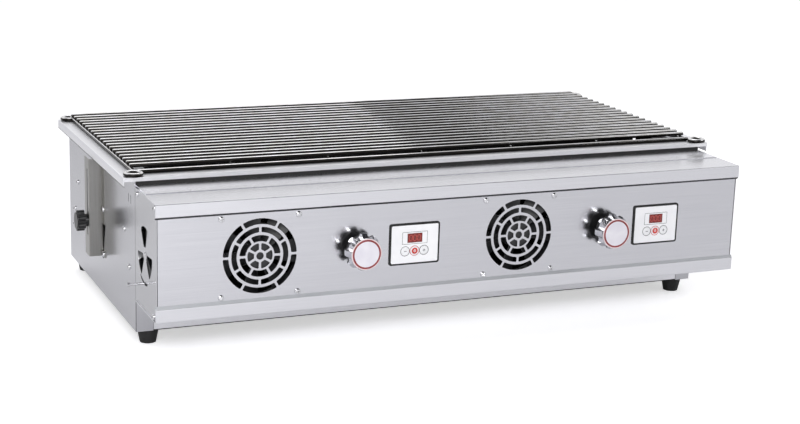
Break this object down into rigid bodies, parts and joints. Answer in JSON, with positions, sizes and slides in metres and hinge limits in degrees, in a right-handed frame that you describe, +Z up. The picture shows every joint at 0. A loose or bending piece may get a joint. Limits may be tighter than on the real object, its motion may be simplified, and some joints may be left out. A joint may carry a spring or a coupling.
{
  "type": "smokeless gas grill",
  "caption": "Table-top gas grill in polished steel: wire grate on top, drip tray drawer below, front console with slotted fan vents, gas knobs and power regulators.",
  "frame": {"origin": "middle of the floor rectangle under the whole object, at the bottom of the feet", "axes": "+X along the console from left to right, +Y from the console to the rear panel, +Z up"},
  "size_m": [0.94, 0.5444, 0.2444],
  "materials": {
    "satin_steel": "bright annealed stainless sheet, nearly a mirror",
    "bright_steel_rod": "polished stainless rod",
    "screw_steel": "bright stainless",
    "burner_steel": "dull aluminised steel",
    "white_ceramic": "matt fired ceramic",
    "black_rubber": "matt black",
    "black_plastic": "fine moulded grain",
    "chromed_knob": "chromed zinc with a silver face",
    "brass": "machined",
    "pipe_steel": "zinc plated",
    "white_label": "printed film",
    "red_window": "tinted window",
    "white_button": "glossy",
    "red_button": "glossy"
  },
  "bodies": {
    "body": {"body_screws": "screw_steel", "bottom_panel": "satin_steel", "console_bottom_cover": "satin_steel", "console_front_panel": "satin_steel", "console_left_end": "satin_steel", "console_right_end": "satin_steel", "console_screws": "screw_steel", "console_top_cover": "satin_steel", "drawer_runners": "satin_steel", "feed_pipes": "brass", "gas_inlet_nipple": "brass", "gas_manifold": "pipe_steel", "inner_front_wall": "satin_steel", "left_display_window": "red_window", "left_fan_frame": "black_plastic", "left_gas_valve": "brass", "left_height_bracket": "satin_steel", "left_regulator_case": "black_plastic", "left_regulator_face": "white_label", "left_side_panel": "satin_steel", "power_inlet": "black_plastic", "rear_panel": "satin_steel", "right_display_window": "red_window", "right_fan_frame": "black_plastic", "right_gas_valve": "brass", "right_height_bracket": "satin_steel", "right_regulator_case": "black_plastic", "right_regulator_face": "white_label", "right_side_panel": "satin_steel", "rim_frame": "satin_steel", "rim_front_seal": "black_rubber", "rubber_feet": "black_rubber", "shutter_rivet": "screw_steel", "splash_plate": "satin_steel"},
    "drip_tray": {"drip_tray": "satin_steel"},
    "burner_carriage": {"burner_frame": "satin_steel", "left_burner": "burner_steel", "right_burner": "burner_steel", "ceramic_tiles": "white_ceramic", "left_flame_shield": "satin_steel", "right_flame_shield": "satin_steel", "igniter_electrodes": "white_ceramic"},
    "grate": {"grate_bars": "bright_steel_rod", "grate_cross_bars": "bright_steel_rod", "grate_frame_rods": "bright_steel_rod"},
    "air_shutter": {"shutter_disc": "satin_steel"},
    "left_clamp": {"left_clamp_knob": "black_plastic"},
    "left_fan": {"left_fan_rotor": "black_plastic"},
    "left_stem": {"left_valve_stem": "screw_steel"},
    "left_knob": {"left_gas_knob": "chromed_knob"},
    "left_minus": {"left_minus_button": "white_button"},
    "left_power": {"left_power_button": "red_button"},
    "left_plus": {"left_plus_button": "white_button"},
    "right_clamp": {"right_clamp_knob": "black_plastic"},
    "right_fan": {"right_fan_rotor": "black_plastic"},
    "right_stem": {"right_valve_stem": "screw_steel"},
    "right_knob": {"right_gas_knob": "chromed_knob"},
    "right_minus": {"right_minus_button": "white_button"},
    "right_power": {"right_power_button": "red_button"},
    "right_plus": {"right_plus_button": "white_button"}
  },
  "joints": [
    {"name": "drip_tray_slide", "type": "slide", "parent": "body", "child": "drip_tray", "axis": [0, -1, 0], "range_m": [0, 0.33]},
    {"name": "burner_lift", "type": "slide", "parent": "body", "child": "burner_carriage", "axis": [0, 0, 1], "range_m": [-0.0175, 0.07]},
    {"name": "grate_lift", "type": "slide", "parent": "body", "child": "grate", "axis": [0, 0, 1], "range_m": [0, 0.12]},
    {"name": "air_shutter_turn", "type": "hinge", "parent": "body", "child": "air_shutter", "pos_m": [-0.433, -0.18305, 0.1419], "axis": [1, 0, 0], "range_deg": [-18, 28]},
    {"name": "left_clamp_turn", "type": "hinge", "parent": "burner_carriage", "child": "left_clamp", "pos_m": [-0.463, 0.05575, 0.129], "axis": [-1, 0, 0], "range_deg": [0, 360]},
    {"name": "left_fan_spin", "type": "hinge", "parent": "body", "child": "left_fan", "pos_m": [-0.2947, -0.22625, 0.143], "axis": [0, -1, 0], "continuous": true},
    {"name": "left_valve_turn", "type": "hinge", "parent": "body", "child": "left_stem", "pos_m": [-0.1587, -0.24125, 0.143], "axis": [0, -1, 0], "range_deg": [0, 180]},
    {"name": "left_knob_push", "type": "slide", "parent": "left_stem", "child": "left_knob", "axis": [0, 1, 0], "range_m": [0, 0.003], "stiffness_N_per_m": 1500},
    {"name": "left_minus_press", "type": "slide", "parent": "body", "child": "left_minus", "axis": [0, 1, 0], "range_m": [0, 0.0008], "stiffness_N_per_m": 300},
    {"name": "left_power_press", "type": "slide", "parent": "body", "child": "left_power", "axis": [0, 1, 0], "range_m": [0, 0.0008], "stiffness_N_per_m": 300},
    {"name": "left_plus_press", "type": "slide", "parent": "body", "child": "left_plus", "axis": [0, 1, 0], "range_m": [0, 0.0008], "stiffness_N_per_m": 300},
    {"name": "right_clamp_turn", "type": "hinge", "parent": "burner_carriage", "child": "right_clamp", "pos_m": [0.463, 0.05575, 0.129], "axis": [1, 0, 0], "range_deg": [0, 360]},
    {"name": "right_fan_spin", "type": "hinge", "parent": "body", "child": "right_fan", "pos_m": [0.0813, -0.22625, 0.143], "axis": [0, -1, 0], "continuous": true},
    {"name": "right_valve_turn", "type": "hinge", "parent": "body", "child": "right_stem", "pos_m": [0.2173, -0.24125, 0.143], "axis": [0, -1, 0], "range_deg": [0, 180]},
    {"name": "right_knob_push", "type": "slide", "parent": "right_stem", "child": "right_knob", "axis": [0, 1, 0], "range_m": [0, 0.003], "stiffness_N_per_m": 1500},
    {"name": "right_minus_press", "type": "slide", "parent": "body", "child": "right_minus", "axis": [0, 1, 0], "range_m": [0, 0.0008], "stiffness_N_per_m": 300},
    {"name": "right_power_press", "type": "slide", "parent": "body", "child": "right_power", "axis": [0, 1, 0], "range_m": [0, 0.0008], "stiffness_N_per_m": 300},
    {"name": "right_plus_press", "type": "slide", "parent": "body", "child": "right_plus", "axis": [0, 1, 0], "range_m": [0, 0.0008], "stiffness_N_per_m": 300}
  ]
}
